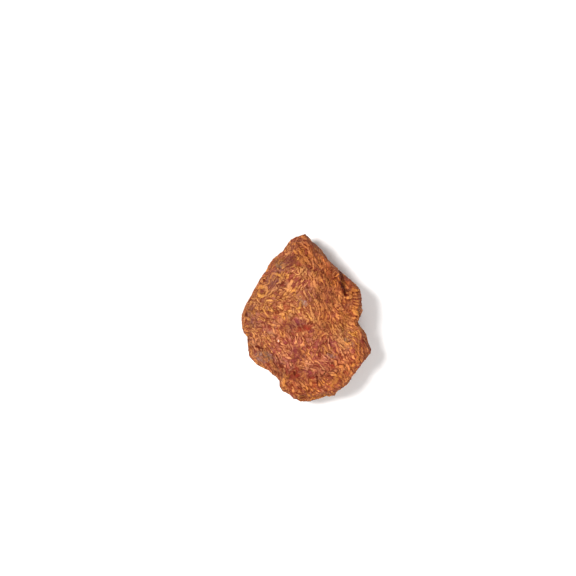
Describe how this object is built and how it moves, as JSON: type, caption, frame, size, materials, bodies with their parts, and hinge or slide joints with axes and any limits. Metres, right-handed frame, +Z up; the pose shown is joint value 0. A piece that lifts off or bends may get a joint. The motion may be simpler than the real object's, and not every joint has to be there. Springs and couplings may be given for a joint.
{
  "type": "rough jasper specimen",
  "caption": "Rough, broken lump of calligraphy jasper: broad hackly top, steep chipped sides, blunt tip, lying on its flattest break.",
  "frame": {"origin": "middle of the bounding box in X and Y, on the resting face", "axes": "+X across the stone, +Y along it from the blunt end towards the tip, +Z up from the resting face"},
  "size_m": [0.047, 0.061, 0.023],
  "materials": {
    "jasper": "dull broken surface: maroon-brown jasper filled with ochre fibres, with small grey and red patches and a few glints"
  },
  "bodies": {
    "root": {"jasper_stone": "jasper"}
  },
  "joints": []
}
